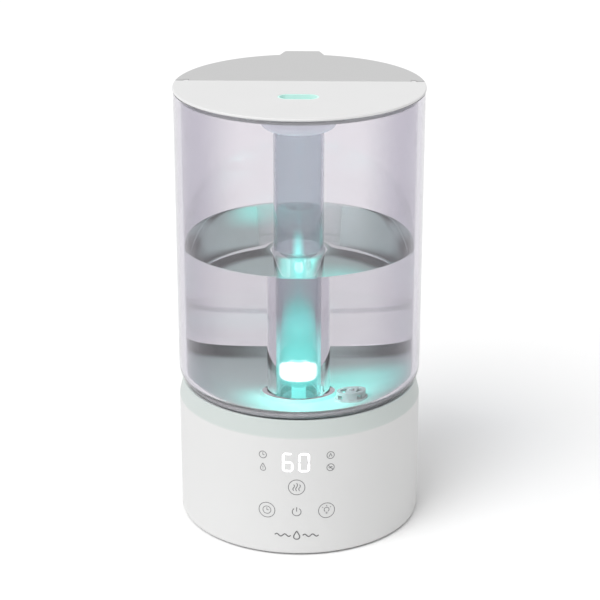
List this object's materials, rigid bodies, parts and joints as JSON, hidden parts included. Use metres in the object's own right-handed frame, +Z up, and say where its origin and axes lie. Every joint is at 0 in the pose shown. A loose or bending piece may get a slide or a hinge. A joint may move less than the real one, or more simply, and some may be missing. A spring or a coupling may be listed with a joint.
{
  "type": "cool mist humidifier",
  "caption": "Upright round ultrasonic humidifier with a clear lift-off top-fill tank, a mist pipe, a slotted lid with a hinged filling flap, and a touch-panel base.",
  "frame": {"origin": "the round body's axis, on the surface that the foot ring stands on", "axes": "+Z up, the control panel faces -Y, +X to the right as seen from the front"},
  "size_m": [0.1708, 0.1808, 0.3108],
  "materials": {
    "housing_white": "satin white",
    "cover_grey": "matte",
    "soft_rubber": "matte",
    "zinc_screw": "zinc plated",
    "grille_white": "satin",
    "foam_grey": "open-cell foam",
    "black_plastic": "satin black",
    "board_green": "solder mask",
    "tray_white": "satin white",
    "disc_metal": "nickel-faced ceramic",
    "seal_silicone": "translucent silicone",
    "aluminium": "brushed",
    "light_guide": "clear acrylic",
    "float_white": "matte",
    "fan_grey": "matte",
    "duct_plastic": "matte",
    "tank_clear": "clear, faint lavender",
    "pipe_clear": "clear grey",
    "spring_steel": "bright wire",
    "lid_white": "satin light grey",
    "flap_grey": "satin grey",
    "collar_frost": "frosted",
    "nozzle_teal": "pale teal"
  },
  "bodies": {
    "base": {"base_shell": "housing_white", "bottom_cover": "cover_grey", "foot_ring": "soft_rubber", "cover_screws": "zinc_screw", "vent_grille": "grille_white", "vent_filter": "foam_grey", "dc_jack": "black_plastic", "main_board": "board_green", "control_board": "board_green", "display_module": "black_plastic", "touch_springs": "spring_steel", "humidity_sensor": "board_green", "water_tray": "tray_white", "transducer_disc": "disc_metal", "transducer_seal": "soft_rubber", "transducer_clamp": "aluminium", "clamp_screws": "zinc_screw", "driver_board": "board_green", "heat_sink": "aluminium", "light_guide": "light_guide", "light_board": "board_green", "float_post": "tray_white", "valve_push_pin": "tray_white", "fan_housing": "black_plastic", "fan_screws": "zinc_screw", "air_duct": "duct_plastic"},
    "level_float": {"level_float": "float_white"},
    "fan_rotor": {"fan_rotor": "fan_grey"},
    "tank": {"tank_shell": "tank_clear", "mist_pipe": "pipe_clear", "pipe_nut": "tray_white", "valve_body": "tray_white", "valve_spring": "spring_steel"},
    "valve_plunger": {"valve_plunger": "float_white", "valve_seal": "soft_rubber"},
    "lid": {"lid_frame": "lid_white", "hinge_pins": "spring_steel", "lid_seal": "seal_silicone", "mist_collar": "collar_frost", "collar_seal": "seal_silicone", "mist_nozzle": "nozzle_teal"},
    "flap": {"lid_flap": "flap_grey"}
  },
  "joints": [
    {"name": "tank_lift", "type": "slide", "parent": "base", "child": "tank", "axis": [0, 0, 1], "range_m": [0, 0.15]},
    {"name": "lid_lift", "type": "slide", "parent": "tank", "child": "lid", "axis": [0, 0, 1], "range_m": [0, 0.06]},
    {"name": "flap_hinge", "type": "hinge", "parent": "lid", "child": "flap", "pos_m": [0, 0.0113, 0.3094], "axis": [1, 0, 0], "range_deg": [0, 90]},
    {"name": "fan_spin", "type": "hinge", "parent": "base", "child": "fan_rotor", "pos_m": [0, 0.0465, 0.058], "axis": [0, 1, 0], "continuous": true},
    {"name": "float_rise", "type": "slide", "parent": "base", "child": "level_float", "axis": [0, 0, 1], "range_m": [0, 0.008]},
    {"name": "valve_slide", "type": "slide", "parent": "tank", "child": "valve_plunger", "axis": [0, 0, 1], "range_m": [-0.0045, 0], "deforming": ["valve_spring"]}
  ],
  "couplings": [
    {"joint": "valve_slide", "follows": "tank_lift", "ratio": -0.03}
  ]
}
